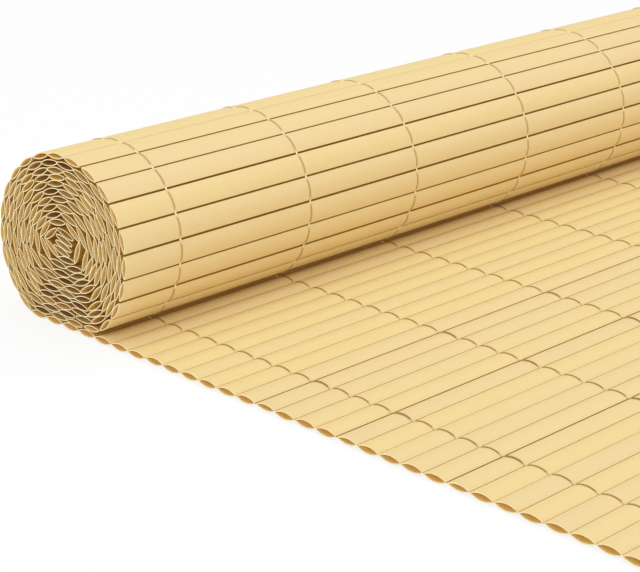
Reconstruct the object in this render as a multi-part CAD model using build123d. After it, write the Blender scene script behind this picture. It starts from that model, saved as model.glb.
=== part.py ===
from build123d import *
import cmath
import math
import os
from collections import namedtuple

# Screening mat of hollow PVC slats held side by side by rows of thread. One end of the mat is wound
# into a roll and the rest is laid out flat in front of it.
# The slats run along Y, the mat is laid out towards +X and the roll lies on its -X end.
# Sizes are in millimetres. Places in the end view are complex numbers, x + z * 1j.

# Slat
SLAT_LENGTH = 1000.0
SLAT_WIDTH = 15.0
SLAT_THICKNESS = 4.0      # between the arcs that the corners of the two faces lie on
FACE_STEPS = 3            # straight steps that the curve of each face is made of
SKIN = 0.6                # plastic over the hollow, at the middle of each face
EDGE_THICKNESS = 0.7      # blunt edge where the two faces meet
EDGE_WEB = 0.9            # solid plastic between the hollow and each edge
SLAT_GAP = 1.0            # between the edges of two neighbouring slats

# Laid-out run, from the line where the mat lifts off the floor to its free edge
FLAT_LENGTH = 480.0

# Roll, an oval through the hinge lines of its outer turn, pressed flat where it lies on the mat
ROLL_WIDTH = 123.0
ROLL_HEIGHT = 117.0
ROLL_AXIS_HEIGHT = 51.0   # above the middle of the laid-out slats
ROLL_LEAN = 0.076         # sideways shift of the oval for each millimetre of height
LAYER_CLEARANCE = 0.2     # between the slats of two turns
HINGE_CLEARANCE = 0.02    # between two neighbouring slats where the mat turns sharply

# Thread, two strands to a row
THREAD_WIDTH = 0.8
THREAD_THICKNESS = 0.4
THREAD_SEAT = 0.05        # between a strand and the slats that it lies on
END_ROW = 44.0            # first and last row, from the ends of the slats
NEAR_STEPS = (110.0, 101.0, 117.0, 113.0)   # uneven steps between the rows at the near end
ROW_STEP = 118.0          # usual step between the other rows

# Search for the next slat of the roll
TURN_LEAST = -6.0         # degrees
TURN_MOST = 130.0
TURN_STEP = 2.0
HALVINGS = 7
LOOK_AHEAD = 1
RIM_STEPS = 12            # steps along each face where clearance is tested
CORE_SHIFT_STEP = 0.5

Slat = namedtuple("Slat", "centre along")   # middle of the section, unit vector across the slat

PITCH = SLAT_WIDTH + SLAT_GAP
HALF_WIDTH = SLAT_WIDTH / 2
FACE_RISE = (SLAT_THICKNESS - EDGE_THICKNESS) / 2
FACE_RADIUS = (HALF_WIDTH**2 + FACE_RISE**2) / (2 * FACE_RISE)
FACE_DROP = 1j * (FACE_RADIUS - SLAT_THICKNESS / 2)   # from the chord to the centre of a face's arc
LAYER = SLAT_THICKNESS + LAYER_CLEARANCE


def face_corners(width, thickness, edge, count):
    """Corners that divide the upper face of a section evenly, on an arc over its width."""
    half, rise = width / 2, (thickness - edge) / 2
    radius = (half**2 + rise**2) / (2 * rise)
    spread = math.asin(half / radius)
    angles = [spread * (2 * k / count - 1) for k in range(count + 1)]
    return [complex(radius * math.sin(a), thickness / 2 - radius * (1 - math.cos(a))) for a in angles]


def mirrored(face):
    """The lower face that goes with an upper one, in the opposite order."""
    return [corner.conjugate() for corner in reversed(face)]


FACE = face_corners(SLAT_WIDTH, SLAT_THICKNESS, EDGE_THICKNESS, FACE_STEPS)
ARC = face_corners(SLAT_WIDTH, SLAT_THICKNESS, EDGE_THICKNESS, RIM_STEPS)
RIM = ARC + mirrored(ARC)
CROWN = max(corner.imag for corner in FACE) + THREAD_SEAT   # from a slat's middle to the strand on it
FLOOR_TO_MIDDLE = THREAD_THICKNESS + CROWN


def within(point, slat, margin):
    """Whether a point lies between the arcs of a slat's section, or nearer to them than the margin."""
    local = (point - slat.centre) / slat.along
    beside = abs(local.real) < HALF_WIDTH + margin
    return beside and max(abs(local + FACE_DROP), abs(local - FACE_DROP)) < FACE_RADIUS + margin


def clash(one, other, margin):
    """Whether two slats come nearer to each other than the margin."""
    if abs(one.centre - other.centre) > SLAT_WIDTH + margin:
        return False
    return any(
        within(one.centre + point * one.along, other, margin)
        or within(other.centre + point * other.along, one, margin)
        for point in RIM
    )


def in_oval(point):
    """Whether a hinge line lies inside the roll's outline and not below the laid-out slats."""
    rise = point.imag - ROLL_AXIS_HEIGHT
    across = (point.real - ROLL_LEAN * rise) / (ROLL_WIDTH / 2)
    return point.imag > -HINGE_CLEARANCE and across**2 + (rise / (ROLL_HEIGHT / 2))**2 <= 1


def lift_off():
    """Hinge line where the oval leaves the floor, on its far side from the laid-out run."""
    half_chord = ROLL_WIDTH / 2 * math.sqrt(1 - (2 * ROLL_AXIS_HEIGHT / ROLL_HEIGHT)**2)
    return complex(-ROLL_LEAN * ROLL_AXIS_HEIGHT - half_chord, 0)


def next_slat(hinge, along, turn):
    """The slat that follows a hinge line, with the mat turned inwards by an angle in degrees."""
    along = along * cmath.exp(-1j * math.radians(turn))
    return Slat(hinge + PITCH / 2 * along, along)


def end_hinge(slat):
    """Hinge line at the end of a slat that the winding goes on from."""
    return slat.centre + PITCH / 2 * slat.along


def fits(slat, laid):
    """Whether a slat clears those laid before it and leaves room for the one that follows it."""
    hinge = end_hinge(slat)
    if not in_oval(hinge) or clash(slat, laid[-1], HINGE_CLEARANCE):
        return False
    room = SLAT_THICKNESS / 2 + LAYER_CLEARANCE
    outer = [other for other in laid[:-1] if abs(other.centre - slat.centre) < 2 * PITCH]
    return not any(within(hinge, other, room) or clash(slat, other, LAYER_CLEARANCE) for other in outer)


def turns():
    """Angles to try at a hinge line, from the most outward one."""
    count = int((TURN_MOST - TURN_LEAST) / TURN_STEP)
    return [TURN_LEAST + TURN_STEP * k for k in range(count + 1)]


def leads_on(laid, turn, depth):
    """Whether a turn fits, and a number of slats after it."""
    slat = next_slat(end_hinge(laid[-1]), laid[-1].along, turn)
    if not fits(slat, laid):
        return False
    return depth == 0 or any(leads_on(laid + [slat], other, depth - 1) for other in turns())


def best_turn(laid):
    """The most outward turn of the next slat, or None where the middle of the roll is full."""
    for depth in range(LOOK_AHEAD, -1, -1):
        turn = next((angle for angle in turns() if leads_on(laid, angle, depth)), None)
        if turn is not None:
            break
    else:
        return None
    tight = turn - TURN_STEP
    for _ in range(HALVINGS if turn > TURN_LEAST else 0):
        middle = (tight + turn) / 2
        if leads_on(laid, middle, 0):
            turn = middle
        else:
            tight = middle
    return turn


def flat_slats():
    """Slats of the laid-out run, from the free edge to the line where the mat lifts off."""
    count = max(round(FLAT_LENGTH / PITCH), 1)
    return [Slat(lift_off() + PITCH * (k + 0.5), -1 + 0j) for k in reversed(range(count))]


def wind(flat):
    """Slats of the roll's turns, from the outside in, one list for each full turn."""
    laid = list(flat)
    spiral = [[]]
    turned = 0.0
    while (turn := best_turn(laid)) is not None:
        turned += turn
        laid.append(next_slat(end_hinge(laid[-1]), laid[-1].along, turn))
        if turned >= 360 * len(spiral):
            spiral.append([])
        spiral[-1].append(laid[-1])
    return spiral


def fold_core(laid):
    """Slats of the mat's inner end, folded to and fro in the hollow that the turns leave."""
    last = laid[-1]
    shifts = [CORE_SHIFT_STEP * k for k in range(-int(PITCH), int(PITCH) + 1)]
    folded = []
    while True:
        middle = last.centre - 1j * last.along * LAYER * (len(folded) + 1)
        trials = [Slat(middle + shift * last.along, last.along) for shift in sorted(shifts, key=abs)]
        taken = laid[:-1] + folded[:-1]
        clear = [slat for slat in trials if not any(clash(slat, other, LAYER_CLEARANCE) for other in taken)]
        if not clear:
            return folded
        folded.append(clear[0])


def outline(upper, lower):
    """A face in the end view between the corners of its upper and lower side."""
    return make_face(Polyline(*((corner.real, corner.imag) for corner in [*upper, *lower]), close=True))


def make_slat():
    """One hollow slat, about its middle."""
    roof = face_corners(SLAT_WIDTH - 2 * EDGE_WEB, SLAT_THICKNESS - 2 * SKIN, 0, FACE_STEPS)
    section = outline(FACE, mirrored(FACE)) - outline(roof, mirrored(roof)[1:-1])
    return extrude(Plane.XZ * section, SLAT_LENGTH / 2, both=True)


def place(slat, pattern):
    """A copy of the slat pattern at its place in the end view."""
    lean = math.degrees(cmath.phase(slat.along))
    return Pos(slat.centre.real, 0, slat.centre.imag + FLOOR_TO_MIDDLE) * Rot(0, -lean, 0) * pattern


def row_places():
    """Places of the rows of thread along the slats, from the near end."""
    rows = [END_ROW - SLAT_LENGTH / 2]
    for step in NEAR_STEPS:
        rows.append(rows[-1] + step)
    rest = SLAT_LENGTH / 2 - END_ROW - rows[-1]
    count = max(round(rest / ROW_STEP), 1)
    return rows + [rows[-1] + rest * (k + 1) / count for k in range(count)]


def strand(inner, outer):
    """A flat strand between two lines of points in the end view."""
    flat = Plane.XZ * outline(inner, reversed(outer))
    return Pos(0, 0, FLOOR_TO_MIDDLE) * extrude(flat, THREAD_WIDTH / 2, both=True)


def line_over(slats, height):
    """Points of a line that lies on the outer faces of a run of slats and bends at their hinge lines."""
    start, end = slats[0], slats[-1]
    points = [start.centre + 1j * start.along * height]
    for one, other in zip(slats, slats[1:]):
        mitre = (one.along + other.along) / (1 + (one.along * other.along.conjugate()).real)
        points.append(end_hinge(one) + 1j * mitre * height)
    return points + [end.centre + 1j * end.along * height]


def make_stitch(flat, outer_turn):
    """The strands of one row: under and over the laid-out run, and round the outside of the roll."""
    nip = CROWN + 2 * THREAD_THICKNESS + LAYER
    open_turn = [slat for slat in outer_turn if end_hinge(slat).imag > nip]
    lift, free = lift_off().real, flat[0].centre.real + HALF_WIDTH
    start = end_hinge(open_turn[-1]).real
    levels = (CROWN, CROWN + THREAD_THICKNESS)
    over = strand(*([start + 1j * level, free + 1j * level] for level in levels))
    under = strand(*([lift - 1j * level, free - 1j * level] for level in levels))
    return [over, under, strand(*(line_over(open_turn, level) for level in levels))]


def main():
    flat = flat_slats()
    spiral = wind(flat)
    core = fold_core(flat + sum(spiral, []))
    groups = {"flat_run": flat}
    groups.update({f"roll_turn_{k:02d}": turn for k, turn in enumerate(spiral, 1)})
    groups["core_folds"] = core

    pattern = make_slat()
    nodes = {name: [place(slat, pattern) for slat in slats] for name, slats in groups.items() if slats}
    stitch = make_stitch(flat, spiral[0])
    for number, row in enumerate(row_places(), 1):
        nodes[f"stitch_row_{number:02d}"] = [Pos(0, row, 0) * piece for piece in stitch]

    box = Compound([piece for pieces in nodes.values() for piece in pieces]).bounding_box()
    os.makedirs("parts", exist_ok=True)
    for name, pieces in nodes.items():
        moved = [Pos(-box.center().X, 0, 0) * piece for piece in pieces]
        export_step(Compound(moved), f"parts/{name}.step")
    count = sum(len(slats) for slats in groups.values())
    print(count, "slats,", round(count * PITCH), "mm of mat")


main()
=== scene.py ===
"""Looks of a screening mat of hollow PVC slats, half wound into a roll and half laid out flat."""

from __future__ import annotations

import cmath
import logging
import math
import random
from collections.abc import Callable
from dataclasses import dataclass
from enum import Enum, IntEnum

import bpy
from mathutils import Matrix, Vector

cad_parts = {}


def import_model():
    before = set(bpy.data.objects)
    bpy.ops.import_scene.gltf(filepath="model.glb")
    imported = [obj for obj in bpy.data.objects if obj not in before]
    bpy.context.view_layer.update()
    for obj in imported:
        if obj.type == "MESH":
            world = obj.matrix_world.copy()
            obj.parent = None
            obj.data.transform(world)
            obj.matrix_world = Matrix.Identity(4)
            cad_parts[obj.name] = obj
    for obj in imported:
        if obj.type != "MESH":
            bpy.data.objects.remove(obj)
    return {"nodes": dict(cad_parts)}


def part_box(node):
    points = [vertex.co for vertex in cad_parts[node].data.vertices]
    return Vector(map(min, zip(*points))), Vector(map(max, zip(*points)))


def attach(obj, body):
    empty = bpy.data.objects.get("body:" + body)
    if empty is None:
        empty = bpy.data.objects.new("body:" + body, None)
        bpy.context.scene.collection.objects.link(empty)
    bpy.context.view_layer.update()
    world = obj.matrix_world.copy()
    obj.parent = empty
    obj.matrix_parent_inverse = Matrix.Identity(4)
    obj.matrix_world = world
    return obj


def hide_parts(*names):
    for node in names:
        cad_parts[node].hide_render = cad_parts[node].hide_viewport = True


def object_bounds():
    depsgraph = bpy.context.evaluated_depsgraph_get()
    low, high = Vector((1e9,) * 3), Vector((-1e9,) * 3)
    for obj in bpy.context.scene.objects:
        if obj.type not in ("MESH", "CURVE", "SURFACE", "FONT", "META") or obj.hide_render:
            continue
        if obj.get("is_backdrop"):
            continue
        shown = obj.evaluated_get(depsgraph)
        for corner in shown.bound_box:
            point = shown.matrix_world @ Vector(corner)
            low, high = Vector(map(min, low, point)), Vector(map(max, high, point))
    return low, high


LOG = logging.getLogger("screening")
MM = 0.001
PHOTO_WIDTH = 640
TOLERANCE = 0.01 * MM
SAME_POINT_DIGITS = 6

Triple = tuple[float, float, float]
Colour = Triple


def from_screen(red: int, green: int, blue: int) -> Colour:
    """Turn a colour as seen on a screen into the linear values that shaders use.

    Args:
        red: Red from 0 to 255.
        green: Green from 0 to 255.
        blue: Blue from 0 to 255.

    Returns:
        The linear colour.
    """

    def linear(value: int) -> float:
        """Undo the screen's curve for one channel."""
        share = value / 255
        return share / 12.92 if share <= 0.04045 else ((share + 0.055) / 1.055) ** 2.4

    return linear(red), linear(green), linear(blue)


class SlatSurface(IntEnum):
    """Material slots of a slat: its faces, its hollow, its cut ends and its sides at the gaps."""

    OUTSIDE = 0
    INSIDE = 1
    CUT = 2
    SIDE = 3


class SlatKind(Enum):
    """Where a slat lies: on the floor, on the roll's front or back, or inside the roll."""

    LAID = "laid"
    OUTER = "outer"
    BACK = "back"
    NESTED = "nested"


FLAT_RUN = "flat_run"
OUTER_TURN = "roll_turn_01"
ROW_PREFIX = "stitch_row"
KIND_OF_RUN = {FLAT_RUN: SlatKind.LAID, OUTER_TURN: SlatKind.OUTER}

# Sections of the slats. Those that lie close together are as wide as the pitch allows.
CLOSE_WIDTH = 15.7 * MM
LAID_THICKNESS = 4.7 * MM
NESTED_THICKNESS = 4.4 * MM
NESTED_EDGE = 1.6 * MM
SHOWN_STEPS = 12
NESTED_STEPS = 6
SMOOTH_ANGLE = math.radians(30)

# Slats that take another section than the rest of their run, counted from -X, and the slats' play.
LOOSE_SLATS = frozenset({13, 17, 22})
LOOSE_SHIFT = 0.3 * MM
BACK_SLATS = frozenset(range(11))
LAID_PLAY = 0.1 * MM
ROLL_PLAY = 0.3 * MM

# Inside the roll a slat's hollow gets painted shade if the cosine of its tilt is above the first
# number.
HOLLOW_SHADE_FROM = 0.86
HOLLOW_SHADE = 0.9

# Thread: the share of painted shade that darkens it on a slat, the height at which it crosses a
# gap, and the slats' thicknesses above the laid-out run below which the front of the roll shows
# none.
LAID_THREAD_SHADE = 1.0
ROLL_THREAD_SHADE = 0.8
LAID_CROSSING = 0.85 * MM
ROLL_CROSSING = 0.45 * MM
HIDDEN_LAYERS = 2


class StrandSide(Enum):
    """The side of the laid-out mat that a strand lies on."""

    OVER = 1
    UNDER = -1


@dataclass(frozen=True)
class SlatPlace:
    """Where a slat lies in the end view, as complex numbers x + z * 1j in metres."""

    middle: complex
    across: complex

    def facing(self, outward: complex) -> "SlatPlace":
        """The same place with its upper face turned to the side that a direction points to."""
        upward = (1j * self.across * outward.conjugate()).real
        return self if upward > 0 else SlatPlace(self.middle, -self.across)

    def matrix(self, along_y: float) -> Matrix:
        """Transform from a pattern about the origin to this place.

        Args:
            along_y: Shift along the slat, in metres.

        Returns:
            The matrix.
        """
        move = Matrix.Translation((self.middle.real, along_y, self.middle.imag))
        return move @ Matrix.Rotation(-cmath.phase(self.across), 4, "Y")


@dataclass(frozen=True)
class SlatFinish:
    """Straw-coloured PVC with a lengthwise grain, and the painted shade and painted glow that its
    materials use.
    """

    yellow: Colour = from_screen(239, 216, 153)
    beige: Colour = from_screen(236, 211, 161)
    # Painted shade: the darker gold of the faces between the turns of the roll and of the slats'
    # side walls at the gaps.
    wound: Colour = from_screen(170, 120, 30)
    inside: Colour = from_screen(238, 213, 148)
    # Colour of the painted shade in the hollows of slats inside the roll.
    hollow_shade_colour: Colour = from_screen(126, 70, 36)
    # Painted glow, as if light came through the thin plastic: inside the roll, on the shown slats'
    # inner walls, and on the faces between the turns.
    inside_glow: Colour = from_screen(52, 38, 11)
    lit_glow: Colour = from_screen(72, 54, 17)
    wound_glow: Colour = from_screen(64, 46, 10)
    cut: Colour = from_screen(255, 241, 198)
    streak: Colour = from_screen(231, 200, 138)
    # Colour of the painted shadow along the thread rows.
    groove_and_shade: Colour = from_screen(150, 112, 50)
    fold: Colour = from_screen(212, 158, 54)
    streak_share: float = 0.45
    mottling_share: float = 0.3
    groove_shade_share: float = 0.38
    wound_mottling: float = 0.2
    inside_streaks: float = 0.3
    cut_mottling: float = 0.5
    roughness: float = 0.55
    roughness_range: float = 0.16
    sheltered_roughness: float = 0.7
    specular: float = 0.12
    sheltered_specular: float = 0.05
    cut_specular: float = 0.1
    streak_height: float = 0.12
    groove_depth: float = 0.25
    bump_strength: float = 0.6
    bump_distance: float = 0.3 * MM


@dataclass(frozen=True)
class ThreadFinish:
    """Pale clear-coated thread with a fine twist, darkened by painted shade where it lies on a slat
    and lit by a painted glow in the gaps.
    """

    pale: Colour = from_screen(253, 241, 208)
    # Painted shade: the darker colour of the thread where it lies on a slat.
    painted_shade: Colour = from_screen(180, 140, 70)
    twist: Colour = from_screen(196, 164, 104)
    # Painted glow of the thread where it crosses a gap; none where it lies on a slat.
    glow: Colour = from_screen(112, 96, 56)
    no_glow: Colour = (0.0, 0.0, 0.0)
    twist_scale: float = 500.0
    twist_distortion: float = 0.6
    twist_share: float = 0.3
    roughness: float = 0.6
    specular: float = 0.05
    bump_strength: float = 0.4
    bump_distance: float = 0.1 * MM


def clear_selection() -> None:
    """Deselect everything, so that an operator acts only on what follows."""
    bpy.ops.object.select_all(action="DESELECT")


def make_active(piece: bpy.types.Object) -> None:
    """Select one object alone and make it the active one."""
    clear_selection()
    piece.select_set(True)
    bpy.context.view_layer.objects.active = piece


def apply_modifier(piece: bpy.types.Object, kind: str, **settings: object) -> None:
    """Add a modifier with its settings and apply it.

    Args:
        piece: Object that gets it.
        kind: Blender's name of the modifier type.
        settings: Properties of the modifier.
    """
    make_active(piece)
    modifier = piece.modifiers.new(kind.lower(), kind)
    for name, value in settings.items():
        setattr(modifier, name, value)
    bpy.ops.object.modifier_apply(modifier=modifier.name)


def pick_vertices(piece: bpy.types.Object, wanted: Callable[[Vector], bool]) -> None:
    """Select in edit mode the vertices that a test picks by their place, and no others.

    Args:
        piece: Object in edit mode.
        wanted: Test of a vertex's place.
    """
    bpy.ops.mesh.select_all(action="DESELECT")
    bpy.ops.object.mode_set(mode="OBJECT")
    for vertex in piece.data.vertices:
        vertex.select = bool(wanted(vertex.co))
    bpy.ops.object.mode_set(mode="EDIT")
    bpy.ops.mesh.select_mode(type="VERT")


def copy_of(pattern: bpy.types.Object, matrix: Matrix) -> bpy.types.Object:
    """Copy a pattern, mesh and all, to a place that goes into its mesh.

    Args:
        pattern: Object to copy.
        matrix: Transform of the copy's mesh.

    Returns:
        The copy.
    """
    copy = pattern.copy()
    copy.data = pattern.data.copy()
    copy.data.transform(matrix)
    bpy.context.scene.collection.objects.link(copy)
    return copy


def join_as(name: str, copies: list[bpy.types.Object]) -> bpy.types.Object:
    """Join copies into one named piece.

    Args:
        name: Name of the piece.
        copies: Objects to join.

    Returns:
        The piece.
    """
    make_active(copies[0])
    for copy in copies:
        copy.select_set(True)
    bpy.ops.object.join()
    piece = bpy.context.view_layer.objects.active
    piece.name = name
    piece.data.name = name
    return piece


def set_inputs(node: bpy.types.Node, values: dict[str, object]) -> None:
    """Set the inputs of a node by name.

    Args:
        node: Node to set.
        values: Value of each input.
    """
    for name, value in values.items():
        node.inputs[name].default_value = value


class Nodes:
    """Short calls that add and link the nodes of one node tree."""

    # Numbers of a Mix node's inputs and output when it mixes colours.
    MIX_SHARE, MIX_FIRST, MIX_SECOND = 0, 6, 7
    MIX_COLOUR = 2

    def __init__(self, tree: bpy.types.NodeTree) -> None:
        """Start on a node tree."""
        self.tree = tree

    def add(self, kind: str, **values: object) -> bpy.types.Node:
        """Add a node.

        Args:
            kind: Blender's node type.
            values: Properties of the node.

        Returns:
            The node.
        """
        node = self.tree.nodes.new(kind)
        for name, value in values.items():
            setattr(node, name, value)
        return node

    def link(self, source: bpy.types.NodeSocket, target: bpy.types.NodeSocket) -> None:
        """Link an output to an input."""
        self.tree.links.new(source, target)

    def math(self, operation: str, first: object, second: object = 0.0) -> bpy.types.NodeSocket:
        """Add a math node on sockets or plain numbers.

        Args:
            operation: Blender's name of the operation.
            first: First value.
            second: Second value.

        Returns:
            The result's socket.
        """
        node = self.add("ShaderNodeMath", operation=operation)
        for socket, value in zip(node.inputs, (first, second)):
            if isinstance(value, (int, float)):
                socket.default_value = value
            else:
                self.link(value, socket)
        return node.outputs[0]

    def nearness(self, distance: object, reach: object) -> bpy.types.NodeSocket:
        """Turn a distance into a value that falls evenly from 1 to 0 and stays there.

        Args:
            distance: Socket or number.
            reach: Distance at which the value comes to 0, as a socket or number.

        Returns:
            The value's socket.
        """
        share = self.math("DIVIDE", distance, reach)
        return self.math("MAXIMUM", self.math("SUBTRACT", 1.0, share), 0.0)

    def mix(
        self, amount: bpy.types.NodeSocket, first: object, second: object
    ) -> bpy.types.NodeSocket:
        """Mix two colours.

        Args:
            amount: Socket of a share from 0 to 1.
            first: Colour or socket at 0.
            second: Colour or socket at 1.

        Returns:
            The mixed colour's socket.
        """
        node = self.add("ShaderNodeMix", data_type="RGBA")
        self.link(amount, node.inputs[self.MIX_SHARE])
        for index, value in ((self.MIX_FIRST, first), (self.MIX_SECOND, second)):
            if isinstance(value, tuple):
                node.inputs[index].default_value = (*value, 1.0)
            else:
                self.link(value, node.inputs[index])
        return node.outputs[self.MIX_COLOUR]

    def noise(
        self, vector: bpy.types.NodeSocket, stretch: Triple, detail: float
    ) -> bpy.types.NodeSocket:
        """Add a noise pattern with its own scale along each axis.

        Args:
            vector: Coordinates.
            stretch: Scale along X, Y and Z.
            detail: Octaves of the noise.

        Returns:
            The pattern's value from 0 to 1.
        """
        mapping = self.add("ShaderNodeMapping")
        set_inputs(mapping, {"Scale": stretch})
        self.link(vector, mapping.inputs["Vector"])
        noise = self.add("ShaderNodeTexNoise")
        set_inputs(noise, {"Scale": 1.0, "Detail": detail})
        self.link(mapping.outputs[0], noise.inputs["Vector"])
        return noise.outputs[0]

    def bump(
        self, height: bpy.types.NodeSocket, strength: float, distance: float
    ) -> bpy.types.NodeSocket:
        """Add a bump from a pattern of heights.

        Args:
            height: The pattern.
            strength: Strength from 0 to 1.
            distance: Height of the pattern's 1, in metres.

        Returns:
            The normal's socket.
        """
        node = self.add("ShaderNodeBump")
        set_inputs(node, {"Strength": strength, "Distance": distance})
        self.link(height, node.inputs["Height"])
        return node.outputs[0]


class Effects:
    """Node groups that the materials share."""

    TONE_SHIFT = (3.0, 7.0, 5.0)
    STREAK_SCALE = (900.0, 5.0, 900.0)
    STREAK_DETAIL = 3.0
    MOTTLING_SCALE = (40.0, 9.0, 40.0)
    MOTTLING_DETAIL = 2.0
    WITHOUT_Y = (1.0, 0.0, 1.0)
    FAR = 1.0

    def __init__(self, rows: list[float]) -> None:
        """Build the groups.

        Args:
            rows: Places of the thread rows along the slats, in metres.
        """
        self.grain = self._grain()
        self.groove_and_shade = self._groove(rows)
        self.fold = self._fold()

    @staticmethod
    def _group(
        name: str, inputs: dict[str, str], outputs: dict[str, str]
    ) -> tuple[Nodes, dict, dict]:
        """Start a node group with named sockets.

        Args:
            name: Name of the group.
            inputs: Socket type of each input by name.
            outputs: Socket type of each output by name.

        Returns:
            The group's nodes, and its input and output sockets by name.
        """
        tree = bpy.data.node_groups.new(name, "ShaderNodeTree")
        for way, sockets in (("INPUT", inputs), ("OUTPUT", outputs)):
            for label, kind in sockets.items():
                tree.interface.new_socket(label, in_out=way, socket_type=kind)
        nodes = Nodes(tree)
        start, end = nodes.add("NodeGroupInput"), nodes.add("NodeGroupOutput")
        taken = {label: start.outputs[label] for label in inputs}
        given = {label: end.inputs[label] for label in outputs}
        return nodes, taken, given

    def _grain(self) -> bpy.types.NodeTree:
        """Lengthwise streaks and slow mottling that differ from slat to slat."""
        nodes, taken, given = self._group(
            "lengthwise_grain",
            {"Vector": "NodeSocketVector", "Tone": "NodeSocketFloat"},
            {"Streaks": "NodeSocketFloat", "Mottling": "NodeSocketFloat"},
        )
        shift = nodes.add("ShaderNodeVectorMath", operation="SCALE")
        shift.inputs[0].default_value = self.TONE_SHIFT
        nodes.link(taken["Tone"], shift.inputs["Scale"])
        moved = nodes.add("ShaderNodeVectorMath", operation="ADD")
        nodes.link(taken["Vector"], moved.inputs[0])
        nodes.link(shift.outputs[0], moved.inputs[1])
        streaks = nodes.noise(moved.outputs[0], self.STREAK_SCALE, self.STREAK_DETAIL)
        nodes.link(streaks, given["Streaks"])
        mottling = nodes.noise(moved.outputs[0], self.MOTTLING_SCALE, self.MOTTLING_DETAIL)
        nodes.link(mottling, given["Mottling"])
        return nodes.tree

    def _groove(self, rows: list[float]) -> bpy.types.NodeTree:
        """Nearness to a row of thread, 1 on its line and 0 beyond the groove's width."""
        nodes, taken, given = self._group(
            "thread_groove",
            {"Vector": "NodeSocketVector", "Width": "NodeSocketFloat"},
            {"Mask": "NodeSocketFloat"},
        )
        split = nodes.add("ShaderNodeSeparateXYZ")
        nodes.link(taken["Vector"], split.inputs[0])
        nearest: object = self.FAR
        for row in rows:
            offset = nodes.math("ABSOLUTE", nodes.math("SUBTRACT", split.outputs["Y"], row))
            nearest = nodes.math("MINIMUM", offset, nearest)
        nodes.link(nodes.nearness(nearest, taken["Width"]), given["Mask"])
        return nodes.tree

    def _fold(self) -> bpy.types.NodeTree:
        """Nearness to a line along Y, 1 on it and 0 beyond its reach and below its base."""
        nodes, taken, given = self._group(
            "fold_shade",
            {
                "Vector": "NodeSocketVector",
                "Centre": "NodeSocketVector",
                "Reach": "NodeSocketFloat",
                "Base": "NodeSocketFloat",
                "Fade": "NodeSocketFloat",
            },
            {"Mask": "NodeSocketFloat"},
        )
        flat = nodes.add("ShaderNodeVectorMath", operation="MULTIPLY")
        flat.inputs[1].default_value = self.WITHOUT_Y
        nodes.link(taken["Vector"], flat.inputs[0])
        away = nodes.add("ShaderNodeVectorMath", operation="DISTANCE")
        nodes.link(flat.outputs[0], away.inputs[0])
        nodes.link(taken["Centre"], away.inputs[1])
        near = nodes.nearness(away.outputs["Value"], taken["Reach"])
        split = nodes.add("ShaderNodeSeparateXYZ")
        nodes.link(taken["Vector"], split.inputs[0])
        height = nodes.math("SUBTRACT", split.outputs["Z"], taken["Base"])
        rise = nodes.math("DIVIDE", height, taken["Fade"])
        above = nodes.math("MINIMUM", nodes.math("MAXIMUM", rise, 0.0), 1.0)
        nodes.link(nodes.math("MULTIPLY", near, above), given["Mask"])
        return nodes.tree


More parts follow.
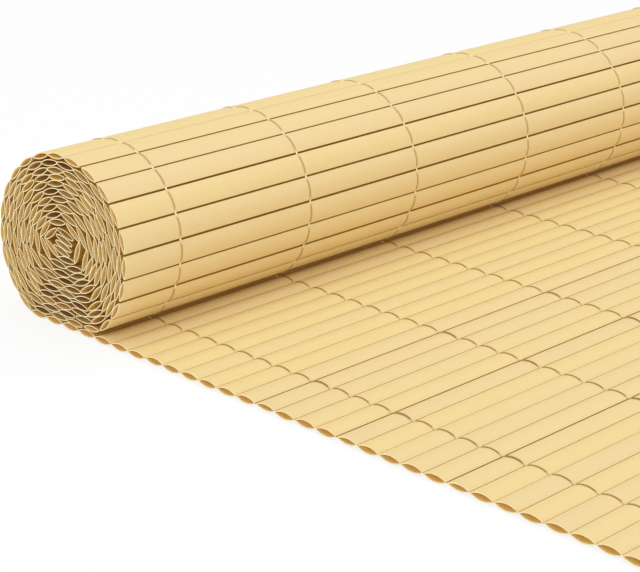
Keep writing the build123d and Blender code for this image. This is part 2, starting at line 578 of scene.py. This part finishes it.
class Finishes:
    """Materials of the mat, made once."""

    GROOVE_WIDTH = 1.1 * MM
    FOLD_FADE = 4.0 * MM
    ROLL_LIFT = 5.0 * MM
    ROLL_REACH = 20.0 * MM
    ROLL_BASE = 5.0 * MM
    NIP_REACH = 12.0 * MM
    NIP_BASE = -10.0 * MM

    def __init__(self, rows: list[float], fold: complex) -> None:
        """Make every material.

        Args:
            rows: Places of the thread rows along the slats, in metres.
            fold: Line where the roll meets the laid-out run, in the end view.
        """
        self.effects = Effects(rows)
        self.nip = fold
        slat = SlatFinish()
        # Two copies of the inner walls that differ only in painted glow: the brighter for the shown
        # slats, the dimmer inside the roll.
        lit = self._inside("slat_inside_lit", slat, slat.lit_glow)
        inside = self._inside("slat_inside", slat, slat.inside_glow)
        cut, wound = self._cut(slat), self._shade_between_turns(slat)
        self.shown_slat = [self._outside(slat), lit, cut, wound]
        self.nested_slat = [wound, inside, cut]
        self.thread = self._thread(ThreadFinish())

    @staticmethod
    def _start(name: str) -> tuple[bpy.types.Material, Nodes, bpy.types.Node]:
        """Start a material on its Principled shader.

        Args:
            name: Name of the material.

        Returns:
            The material, its nodes and the shader.
        """
        material = bpy.data.materials.new(name)
        material.use_nodes = True
        nodes = Nodes(material.node_tree)
        return material, nodes, material.node_tree.nodes["Principled BSDF"]

    @staticmethod
    def _place(nodes: Nodes, tree: bpy.types.NodeTree) -> bpy.types.Node:
        """Place an effect's node group in a material, on Object coordinates."""
        group = nodes.add("ShaderNodeGroup", node_tree=tree)
        nodes.link(nodes.add("ShaderNodeTexCoord").outputs["Object"], group.inputs["Vector"])
        return group

    def _grain(self, nodes: Nodes) -> tuple[bpy.types.Node, bpy.types.NodeSocket]:
        """Place the grain, fed with the slat's own tone.

        Args:
            nodes: Nodes of the material.

        Returns:
            The grain group and the tone's socket.
        """
        tone = nodes.add("ShaderNodeAttribute", attribute_name="slat_tone").outputs["Fac"]
        grain = self._place(nodes, self.effects.grain)
        nodes.link(tone, grain.inputs["Tone"])
        return grain, tone

    def _fold(self, nodes: Nodes, lift: float, reach: float, base: float) -> bpy.types.NodeSocket:
        """Place the shade of the fold between the roll and the laid-out run.

        Args:
            nodes: Nodes of the material.
            lift: Height of its middle above the fold.
            reach: How far it goes.
            base: Height under which it stops.

        Returns:
            The mask's socket.
        """
        group = self._place(nodes, self.effects.fold)
        centre = (self.nip.real, 0, self.nip.imag + lift)
        values = {"Centre": centre, "Reach": reach, "Base": base, "Fade": self.FOLD_FADE}
        set_inputs(group, values)
        return group.outputs["Mask"]

    def _outside(self, finish: SlatFinish) -> bpy.types.Material:
        """Outer faces of the slats, with grain, tone, a bumped dent under each thread with painted
        shadow along it, and painted shade near the fold.
        """
        material, nodes, shader = self._start("slat_outside")
        grain, tone = self._grain(nodes)
        colour = nodes.mix(tone, finish.yellow, finish.beige)
        streaks = nodes.math("MULTIPLY", grain.outputs["Streaks"], finish.streak_share)
        colour = nodes.mix(streaks, colour, finish.streak)
        mottling = nodes.math("MULTIPLY", grain.outputs["Mottling"], finish.mottling_share)
        colour = nodes.mix(mottling, colour, finish.yellow)
        groove_and_shade = self._place(nodes, self.effects.groove_and_shade)
        set_inputs(groove_and_shade, {"Width": self.GROOVE_WIDTH})
        # Painted shadow along each thread row, beside the dent that the bump makes.
        painted_shade = nodes.math("MULTIPLY", groove_and_shade.outputs["Mask"], finish.groove_shade_share)
        colour = nodes.mix(painted_shade, colour, finish.groove_and_shade)
        roll = self._fold(nodes, self.ROLL_LIFT, self.ROLL_REACH, self.ROLL_BASE)
        nip = self._fold(nodes, 0.0, self.NIP_REACH, self.NIP_BASE)
        shade = nodes.math("MAXIMUM", roll, nip)
        nodes.link(nodes.mix(shade, colour, finish.fold), shader.inputs["Base Color"])
        rough = nodes.math("MULTIPLY", grain.outputs["Streaks"], finish.roughness_range)
        least = finish.roughness - finish.roughness_range / 2
        nodes.link(nodes.math("ADD", rough, least), shader.inputs["Roughness"])
        set_inputs(shader, {"Specular IOR Level": finish.specular})
        height = nodes.math("MULTIPLY", grain.outputs["Streaks"], finish.streak_height)
        dent = nodes.math("MULTIPLY", groove_and_shade.outputs["Mask"], finish.groove_depth)
        height = nodes.math("SUBTRACT", height, dent)
        normal = nodes.bump(height, finish.bump_strength, finish.bump_distance)
        nodes.link(normal, shader.inputs["Normal"])
        return material

    def _shade_between_turns(self, finish: SlatFinish) -> bpy.types.Material:
        """Faces that lie between the turns of the roll, in a deeper gold of painted shade, with a
        faint painted glow.
        """
        material, nodes, shader = self._start("slat_shade_between_turns")
        grain, _ = self._grain(nodes)
        mottling = nodes.math("MULTIPLY", grain.outputs["Mottling"], finish.wound_mottling)
        # Painted shade: a darker gold than the faces in the open, with a faint painted glow below.
        nodes.link(nodes.mix(mottling, finish.wound, finish.streak), shader.inputs["Base Color"])
        values = {
            "Emission Color": (*finish.wound_glow, 1),
            "Emission Strength": 1.0,
            "Roughness": finish.roughness,
            "Specular IOR Level": finish.sheltered_specular,
        }
        set_inputs(shader, values)
        return material

    def _inside(self, name: str, finish: SlatFinish, glow: Colour) -> bpy.types.Material:
        """Inner walls of the slats, with painted shade that darkens the hollow of a wide open one
        inside the roll.

        Args:
            name: Name of the material.
            finish: Colours of the plastic.
            glow: Painted glow that stands in for light coming through the thin plastic.

        Returns:
            The material.
        """
        material, nodes, shader = self._start(name)
        grain, _ = self._grain(nodes)
        streaks = nodes.math("MULTIPLY", grain.outputs["Streaks"], finish.inside_streaks)
        colour = nodes.mix(streaks, finish.inside, finish.streak)
        hollow_shade_share = nodes.add("ShaderNodeAttribute", attribute_name="slat_hollow_shade").outputs["Fac"]
        # Painted shade darkens the inner walls of the marked slats inside the roll.
        nodes.link(nodes.mix(hollow_shade_share, colour, finish.hollow_shade_colour), shader.inputs["Base Color"])
        # Painted glow that stands in for light coming through the thin plastic.
        values = {
            "Emission Color": (*glow, 1),
            "Emission Strength": 1.0,
            "Roughness": finish.sheltered_roughness,
            "Specular IOR Level": finish.sheltered_specular,
        }
        set_inputs(shader, values)
        return material

    def _cut(self, finish: SlatFinish) -> bpy.types.Material:
        """Sawn ends of the walls, paler than the faces."""
        material, nodes, shader = self._start("slat_cut_edge")
        grain, _ = self._grain(nodes)
        mottling = nodes.math("MULTIPLY", grain.outputs["Mottling"], finish.cut_mottling)
        nodes.link(nodes.mix(mottling, finish.cut, finish.yellow), shader.inputs["Base Color"])
        values = {
            "Roughness": finish.sheltered_roughness,
            "Specular IOR Level": finish.cut_specular,
        }
        set_inputs(shader, values)
        return material

    def _thread(self, finish: ThreadFinish) -> bpy.types.Material:
        """Thread with a fine slanting twist, pale with a painted glow in the gaps and darker with
        painted shade on the slats.
        """
        material, nodes, shader = self._start("stitch_thread")
        painted_shade = nodes.add("ShaderNodeAttribute", attribute_name="painted_shade").outputs["Fac"]
        position = nodes.add("ShaderNodeTexCoord").outputs["Object"]
        twist = nodes.add("ShaderNodeTexWave", bands_direction="DIAGONAL")
        set_inputs(twist, {"Scale": finish.twist_scale, "Distortion": finish.twist_distortion})
        nodes.link(position, twist.inputs["Vector"])
        turns = nodes.math("MULTIPLY", twist.outputs["Fac"], finish.twist_share)
        # Painted shade darkens the thread to a brown where it lies on a slat.
        colour = nodes.mix(turns, nodes.mix(painted_shade, finish.pale, finish.painted_shade), finish.twist)
        nodes.link(colour, shader.inputs["Base Color"])
        # Painted glow: the thread glows faintly in the gaps and not on a slat.
        nodes.link(nodes.mix(painted_shade, finish.glow, finish.no_glow), shader.inputs["Emission Color"])
        values = {
            "Emission Strength": 1.0,
            "Roughness": finish.roughness,
            "Specular IOR Level": finish.specular,
        }
        set_inputs(shader, values)
        normal = nodes.bump(twist.outputs["Fac"], finish.bump_strength, finish.bump_distance)
        nodes.link(normal, shader.inputs["Normal"])
        return material


@dataclass
class FaceArc:
    """The curve of a slat's face, an arc from edge to edge over its width."""

    width: float = 14.8 * MM
    thickness: float = 4.0 * MM
    edge: float = 0.7 * MM

    @property
    def radius(self) -> float:
        """Radius of the arc."""
        half, rise = self.width / 2, (self.thickness - self.edge) / 2
        return (half**2 + rise**2) / (2 * rise)

    @property
    def spread(self) -> float:
        """Half of the angle that the arc takes up."""
        return math.asin(self.width / 2 / self.radius)

    @property
    def centre(self) -> Vector:
        """Centre of the upper face's arc, about the slat's middle."""
        return Vector((0, 0, self.thickness / 2 - self.radius))


@dataclass
class SlatPattern:
    """One hollow slat, modelled once and copied to every place."""

    kind: SlatKind
    length: float
    arc: FaceArc
    steps: int
    skin: float = 0.55 * MM

    def build(self) -> bpy.types.Object:
        """Spin one long edge over the face's arc, lead it down at the sides and mirror it.

        Returns:
            The slat's outer skin about the origin, along Y.
        """
        half = self.arc.width / 2
        low = self.arc.edge / 2
        clear_selection()
        bpy.ops.mesh.primitive_plane_add(size=self.length)
        slat = bpy.context.active_object
        slat.name = f"slat_pattern_{self.kind.value}"
        bpy.ops.object.mode_set(mode="EDIT")
        pick_vertices(slat, lambda place: place.x > 0)
        bpy.ops.mesh.delete(type="VERT")
        bpy.ops.mesh.select_all(action="SELECT")
        bpy.ops.transform.translate(value=(self.length / 2 - half, 0, low))
        bpy.ops.mesh.spin(
            steps=self.steps, angle=-2 * self.arc.spread, center=self.arc.centre, axis=(0, 1, 0)
        )
        pick_vertices(slat, lambda place: abs(place.x) > half - low)
        bpy.ops.mesh.extrude_region_move(TRANSFORM_OT_translate={"value": (0, 0, -low)})
        bpy.ops.object.mode_set(mode="OBJECT")
        along_z = (False, False, True)
        apply_modifier(slat, "MIRROR", use_axis=along_z, merge_threshold=TOLERANCE)
        bpy.ops.object.mode_set(mode="EDIT")
        bpy.ops.mesh.select_all(action="SELECT")
        bpy.ops.mesh.normals_make_consistent(inside=False)
        bpy.ops.object.mode_set(mode="OBJECT")
        return slat

    def dress(self, slat: bpy.types.Object, finishes: Finishes) -> bpy.types.Object:
        """Give the slat its wall and the materials of its surfaces.

        Args:
            slat: The slat's outer skin.
            finishes: Materials of the mat.

        Returns:
            The dressed slat.
        """
        nested = self.kind is SlatKind.NESTED
        for material in finishes.nested_slat if nested else finishes.shown_slat:
            slat.data.materials.append(material)
        apply_modifier(
            slat,
            "SOLIDIFY",
            thickness=self.skin,
            offset=-1.0,
            use_even_offset=True,
            material_offset=SlatSurface.INSIDE.value,
            material_offset_rim=SlatSurface.CUT.value,
        )
        if not nested:
            self._darken_sides(slat)
        make_active(slat)
        bpy.ops.object.shade_smooth_by_angle(angle=SMOOTH_ANGLE)
        return slat

    def _darken_sides(self, slat: bpy.types.Object) -> None:
        """Give the side walls at the gaps the painted shade of the faces between the turns."""
        edge = self.arc.width / 2 - TOLERANCE
        for polygon in slat.data.polygons:
            if polygon.material_index == SlatSurface.OUTSIDE and abs(polygon.center.x) > edge:
                polygon.material_index = SlatSurface.SIDE


def slat_places(node: bpy.types.Object) -> list[SlatPlace]:
    """Read the places of a node's slats from the corners of their near ends.

    Args:
        node: CAD node of a run of slats.

    Returns:
        One place for each slat, from -X to +X.
    """
    mesh = node.data
    near = min(vertex.co.y for vertex in mesh.vertices)
    groups: list[set[complex]] = []
    for polygon in mesh.polygons:
        corners = [mesh.vertices[index].co for index in polygon.vertices]
        if any(corner.y - near > TOLERANCE for corner in corners):
            continue
        ring = {
            complex(round(corner.x, SAME_POINT_DIGITS), round(corner.z, SAME_POINT_DIGITS))
            for corner in corners
        }
        meeting = [group for group in groups if group & ring]
        groups = [group for group in groups if not group & ring]
        groups.append(ring.union(*meeting))
    found = []
    for group in groups:
        middle = sum(group) / len(group)
        spread = sum((corner - middle) ** 2 for corner in group)
        found.append(SlatPlace(middle, cmath.sqrt(spread / abs(spread))))
    return sorted(found, key=lambda place: place.middle.real)


@dataclass
class SlatRun:
    """The slats of one node: the laid-out run, one turn of the roll or the folds at its core."""

    node: bpy.types.Object
    pattern: bpy.types.Object
    tones: random.Random
    odd: frozenset[int] = frozenset()
    odd_pattern: bpy.types.Object | None = None
    odd_shift: float = 0.0
    end_play: float = 0.35 * MM
    side_play: float = 0.0
    hollow_shade: float = 0.0

    @classmethod
    def of_node(
        cls, node: bpy.types.Object, patterns: dict[SlatKind, bpy.types.Object], seed: int
    ) -> "SlatRun":
        """Set up the run of a node.

        In the laid-out run the odd slats are narrower and leave an open gap beside them. On the
        roll they are the wider ones of the back.

        Args:
            node: CAD node of the run.
            patterns: A slat of each kind.
            seed: Start of the run's random numbers.

        Returns:
            The run.
        """
        kind = KIND_OF_RUN.get(node.name, SlatKind.NESTED)
        run = cls(node, patterns[kind], random.Random(seed))
        if kind is SlatKind.LAID:
            run.odd, run.odd_pattern = LOOSE_SLATS, patterns[SlatKind.OUTER]
            run.odd_shift = LOOSE_SHIFT
            run.side_play = LAID_PLAY
        elif kind is SlatKind.OUTER:
            run.odd, run.odd_pattern = BACK_SLATS, patterns[SlatKind.BACK]
            run.side_play = ROLL_PLAY
        else:
            run.hollow_shade = HOLLOW_SHADE
        return run

    def build(self) -> bpy.types.Object:
        """Copy the pattern to every place, each copy with its own play and tone.

        Returns:
            The run as one piece.
        """
        copies = []
        for number, place in enumerate(slat_places(self.node)):
            pattern = self.pattern
            if number in self.odd:
                pattern = self.odd_pattern
                place = SlatPlace(place.middle + self.odd_shift, place.across)
            play = self.tones.uniform(-self.side_play, self.side_play)
            place = SlatPlace(place.middle + play * place.across, place.across)
            along = self.tones.uniform(-self.end_play, self.end_play)
            copy = copy_of(pattern, place.matrix(along))
            tone = self.tones.random()
            # Painted shade in the hollows of slats inside the roll, by their tilt and varied by
            # their tone.
            level = max(abs(place.across.real) - HOLLOW_SHADE_FROM, 0.0) / (1 - HOLLOW_SHADE_FROM)
            marks = {"slat_tone": tone, "slat_hollow_shade": self.hollow_shade * level * tone}
            for name, value in marks.items():
                mark = copy.data.attributes.new(name, "FLOAT", "POINT")
                mark.data.foreach_set("value", [value] * len(copy.data.vertices))
            copies.append(copy)
        return join_as(f"{self.node.name}_slats", copies)


@dataclass
class StitchPattern:
    """One strand's way over a slat, from the gap on one side to the gap on the other."""

    arc: FaceArc
    pitch: float
    crossing: float
    width: float = 1.1 * MM
    height: float = 0.56 * MM
    sunk: float = 0.06 * MM
    crossing_spread: float = 1.5
    fade: float = 2.2 * MM
    sides: int = 6
    steps: int = 6

    def build(self) -> bpy.types.Object:
        """Spin a flattened ring over the face and lead both ends down into the gaps.

        Returns:
            The stitch about the origin, over a slat along Y.
        """
        start = self.arc.radius + self.height / 2 - self.sunk
        tilt = -self.arc.spread
        place = self.arc.centre + start * Vector((math.sin(tilt), 0, math.cos(tilt)))
        clear_selection()
        bpy.ops.mesh.primitive_circle_add(
            vertices=self.sides,
            radius=self.width / 2,
            location=place,
            rotation=(0, tilt - math.pi / 2, 0),
        )
        stitch = bpy.context.active_object
        stitch.name = "stitch_pattern"
        stitch.scale = (self.height / self.width, 1, 1)
        bpy.ops.object.transform_apply(location=True, rotation=True, scale=True)
        bpy.ops.object.mode_set(mode="EDIT")
        bpy.ops.mesh.select_all(action="SELECT")
        bpy.ops.mesh.spin(
            steps=self.steps, angle=-2 * self.arc.spread, center=self.arc.centre, axis=(0, 1, 0)
        )
        for side in (-1, 1):
            pick_vertices(stitch, lambda point: point.x * side > abs(place.x) - self.height / 2)
            gap = Vector((side * self.pitch / 2, 0, self.crossing))
            step = gap - Vector((side * abs(place.x), 0, place.z))
            bpy.ops.mesh.extrude_region_move(TRANSFORM_OT_translate={"value": step})
            bpy.ops.transform.resize(value=(0, self.crossing_spread, 1), center_override=gap)
        bpy.ops.mesh.select_all(action="SELECT")
        bpy.ops.mesh.normals_make_consistent(inside=False)
        bpy.ops.object.mode_set(mode="OBJECT")
        make_active(stitch)
        bpy.ops.object.shade_smooth()
        return stitch

    def dress(self, stitch: bpy.types.Object, finishes: Finishes, thread_shade: float) -> bpy.types.Object:
        """Give the stitch its material, and mark the painted shade that darkens it on the slat.

        Args:
            stitch: The bare stitch.
            finishes: Materials of the mat.
            thread_shade: Share of painted shade on the middle of the slat, from 0 to 1.

        Returns:
            The dressed stitch.
        """
        stitch.data.materials.append(finishes.thread)
        insets = (self.arc.width / 2 - abs(vertex.co.x) for vertex in stitch.data.vertices)
        # Painted shade on the thread, full on the slat's middle and fading out towards the gaps.
        values = [thread_shade * min(max(inset / self.fade, 0.0), 1.0) for inset in insets]
        painted_shade = stitch.data.attributes.new("painted_shade", "FLOAT", "POINT")
        painted_shade.data.foreach_set("value", values)
        return stitch


@dataclass
class StitchRow:
    """One row of thread: a strand over the laid-out run, and one under it and on round the roll."""

    node: bpy.types.Object
    laid_pattern: bpy.types.Object
    roll_pattern: bpy.types.Object
    spacing: float = 0.33 * MM
    weld: float = 0.14 * MM

    @staticmethod
    def middle_of(node: bpy.types.Object) -> float:
        """Place of a row along the slats."""
        low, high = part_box(node.name)
        return (low.y + high.y) / 2

    def build(
        self, flat: list[SlatPlace], outer: list[SlatPlace], axis: complex
    ) -> bpy.types.Object:
        """Copy the stitch over every slat that the row shows on and weld the stitches to strands.

        Args:
            flat: Places of the laid-out slats.
            outer: Places of the roll's outer turn.
            axis: Middle of the roll in the end view.

        Returns:
            The row as one piece.
        """
        row = self.middle_of(self.node)
        copies = []
        for side in StrandSide:
            shift = row + side.value * self.spacing
            turned = [place.facing(side.value * 1j) for place in flat]
            copies += [copy_of(self.laid_pattern, place.matrix(shift)) for place in turned]
        under = row + StrandSide.UNDER.value * self.spacing
        turned = [place.facing(place.middle - axis) for place in outer]
        copies += [copy_of(self.roll_pattern, place.matrix(under)) for place in turned]
        piece = join_as(f"{self.node.name}_thread", copies)
        bpy.ops.object.mode_set(mode="EDIT")
        bpy.ops.mesh.select_all(action="SELECT")
        bpy.ops.mesh.remove_doubles(threshold=self.weld)
        bpy.ops.mesh.fill_holes(sides=0)
        bpy.ops.object.mode_set(mode="OBJECT")
        return piece


@dataclass
class Studio:
    """Floor, light and camera."""

    camera_place: Triple = (0.7254, -1.18413, 0.43883)
    azimuth: float = 45.264
    elevation: float = 19.95
    focal_pixels: float = 1950.48
    sensor: float = 36.0
    sky: float = 0.66
    key_power: float = 19.5
    key_size: float = 2.4
    key_place: Triple = (0.2, -0.1, 2.1)
    fill_power: float = 6.0
    fill_size: float = 1.4
    fill_place: Triple = (-0.5, -2.2, 0.7)
    side_power: float = 7.0
    side_size: float = 1.6
    side_place: Triple = (2.0, -0.4, 0.6)
    floor_size: float = 12.0
    floor_drop: float = 0.6 * MM
    floor_white: float = 0.85
    floor_shade: Colour = (0.95, 0.95, 0.95)
    floor_roughness: float = 0.9

    def build(self) -> None:
        """Set up the whole studio."""
        self._view()
        self._camera()
        self._lamp("key", self.key_power, self.key_size, self.key_place)
        self._lamp("fill", self.fill_power, self.fill_size, self.fill_place)
        self._lamp("side", self.side_power, self.side_size, self.side_place)
        self._sky()
        self._floor()

    @staticmethod
    def _view() -> None:
        """Show colours as they are written."""
        bpy.context.scene.view_settings.view_transform = "Standard"

    def _camera(self) -> None:
        """Place the camera at the photograph's point of view."""
        data = bpy.data.cameras.new("camera")
        data.sensor_width = self.sensor
        data.lens = self.sensor * self.focal_pixels / PHOTO_WIDTH
        camera = bpy.data.objects.new("camera", data)
        camera.location = self.camera_place
        camera.rotation_euler = (math.radians(90 - self.elevation), 0, math.radians(self.azimuth))
        bpy.context.scene.collection.objects.link(camera)
        bpy.context.scene.camera = camera

    @staticmethod
    def _lamp(name: str, power: float, size: float, place: Triple) -> None:
        """Hang a large soft light that points at the mat.

        Args:
            name: Name of the light.
            power: Power in watts.
            size: Side of its square face, in metres.
            place: Place in metres.
        """
        data = bpy.data.lights.new(name, "AREA")
        data.energy = power
        data.size = size
        lamp = bpy.data.objects.new(name, data)
        lamp.location = place
        lamp.rotation_euler = (-Vector(place)).to_track_quat("-Z", "Y").to_euler()
        bpy.context.scene.collection.objects.link(lamp)

    @staticmethod
    def _seen_directly(nodes: Nodes) -> bpy.types.NodeSocket:
        """1 for rays that show the background, by sight, gloss or glass."""
        path = nodes.add("ShaderNodeLightPath").outputs
        shown = nodes.math("MAXIMUM", path["Is Camera Ray"], path["Is Glossy Ray"])
        return nodes.math("MAXIMUM", shown, path["Is Transmission Ray"])

    def _sky(self) -> None:
        """Make the surroundings white to look at and a plain soft light on the mat."""
        world = bpy.data.worlds.new("surroundings")
        bpy.context.scene.world = world
        world.use_nodes = True
        nodes = Nodes(world.node_tree)
        background = world.node_tree.nodes["Background"]
        set_inputs(background, {"Color": (1, 1, 1, 1)})
        lift = nodes.math("MULTIPLY", self._seen_directly(nodes), 1 - self.sky)
        nodes.link(nodes.math("ADD", lift, self.sky), background.inputs["Strength"])

    def _floor(self) -> None:
        """Lay a pale floor that keeps a soft shadow."""
        clear_selection()
        bpy.ops.mesh.primitive_plane_add(size=self.floor_size, location=(0, 0, -self.floor_drop))
        floor = bpy.context.active_object
        floor.name = "floor"
        material = bpy.data.materials.new("floor_white")
        material.use_nodes = True
        nodes = Nodes(material.node_tree)
        shader = material.node_tree.nodes["Principled BSDF"]
        values = {"Base Color": (*self.floor_shade, 1), "Roughness": self.floor_roughness}
        set_inputs(shader, values)
        glow = nodes.add("ShaderNodeEmission")
        blend = nodes.add("ShaderNodeMixShader")
        share = nodes.math("MULTIPLY", self._seen_directly(nodes), self.floor_white)
        nodes.link(share, blend.inputs[0])
        nodes.link(shader.outputs[0], blend.inputs[1])
        nodes.link(glow.outputs[0], blend.inputs[2])
        nodes.link(blend.outputs[0], material.node_tree.nodes["Material Output"].inputs["Surface"])
        floor.data.materials.append(material)
        floor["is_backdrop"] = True


def hand_over(piece: bpy.types.Object, node: str) -> None:
    """Let a piece stand for its CAD node: hang it on the root body and hide the node.

    Args:
        piece: Finished piece.
        node: CAD node that it replaces.
    """
    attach(piece, "root")
    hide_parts(node)
    LOG.info("%s: %d faces", piece.name, len(piece.data.polygons))


class Mat:
    """The whole mat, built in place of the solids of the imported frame."""

    LAID_ARC = FaceArc(width=CLOSE_WIDTH, thickness=LAID_THICKNESS)
    ROLL_ARC = FaceArc()
    BACK_ARC = FaceArc(width=CLOSE_WIDTH)
    NESTED_ARC = FaceArc(width=CLOSE_WIDTH, thickness=NESTED_THICKNESS, edge=NESTED_EDGE)

    def __init__(self, nodes: dict[str, bpy.types.Object], length: float) -> None:
        """Read the places of the slats and rows, and make the materials.

        Args:
            nodes: CAD nodes by name.
            length: Length of the slats, in metres.
        """
        self.nodes = nodes
        self.length = length
        self.row_names = sorted(name for name in nodes if name.startswith(ROW_PREFIX))
        self.run_names = sorted(name for name in nodes if name not in self.row_names)
        self.flat, self.outer = slat_places(nodes[FLAT_RUN]), slat_places(nodes[OUTER_TURN])
        self.axis = sum(place.middle for place in self.outer) / len(self.outer)
        front = (place.middle for place in self.outer if place.middle.real > self.axis.real)
        fold = min(front, key=lambda middle: middle.imag)
        rows = [StitchRow.middle_of(nodes[name]) for name in self.row_names]
        self.finishes = Finishes(rows, fold)

    def build_slats(self) -> None:
        """Model a slat of each kind and copy it to every place of every run."""
        patterns = {}
        for kind, arc, steps in (
            (SlatKind.LAID, self.LAID_ARC, SHOWN_STEPS),
            (SlatKind.OUTER, self.ROLL_ARC, SHOWN_STEPS),
            (SlatKind.BACK, self.BACK_ARC, SHOWN_STEPS),
            (SlatKind.NESTED, self.NESTED_ARC, NESTED_STEPS),
        ):
            pattern = SlatPattern(kind, self.length, arc, steps)
            patterns[kind] = pattern.dress(pattern.build(), self.finishes)
        for number, name in enumerate(self.run_names):
            run = SlatRun.of_node(self.nodes[name], patterns, number)
            hand_over(run.build(), name)
        for pattern in patterns.values():
            bpy.data.objects.remove(pattern)

    def build_thread(self) -> None:
        """Model a stitch on a laid-out slat and one on the roll, and copy them along every row."""
        pitch = (self.flat[-1].middle - self.flat[0].middle).real / (len(self.flat) - 1)
        patterns = []
        for arc, crossing, thread_shade in (
            (self.LAID_ARC, LAID_CROSSING, LAID_THREAD_SHADE),
            (self.ROLL_ARC, ROLL_CROSSING, ROLL_THREAD_SHADE),
        ):
            pattern = StitchPattern(arc, pitch, crossing)
            patterns.append(pattern.dress(pattern.build(), self.finishes, thread_shade))
        shown = self._roll_with_thread()
        for name in self.row_names:
            row = StitchRow(self.nodes[name], *patterns)
            hand_over(row.build(self.flat, shown, self.axis), name)
        for pattern in patterns:
            bpy.data.objects.remove(pattern)

    def _roll_with_thread(self) -> list[SlatPlace]:
        """Slats of the outer turn that thread shows on: all but those near the laid-out run."""
        top = max(place.middle.imag for place in self.flat)
        least = top + HIDDEN_LAYERS * self.ROLL_ARC.thickness
        return [
            place
            for place in self.outer
            if place.middle.imag > least or place.middle.real < self.axis.real
        ]


def main() -> None:
    """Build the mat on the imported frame, then the studio."""
    logging.basicConfig(level=logging.INFO, format="%(message)s")
    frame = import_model()
    cad_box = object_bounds()
    mat = Mat(frame["nodes"], cad_box[1].y - cad_box[0].y)
    mat.build_slats()
    mat.build_thread()
    Studio().build()


if __name__ == "__main__":
    main()
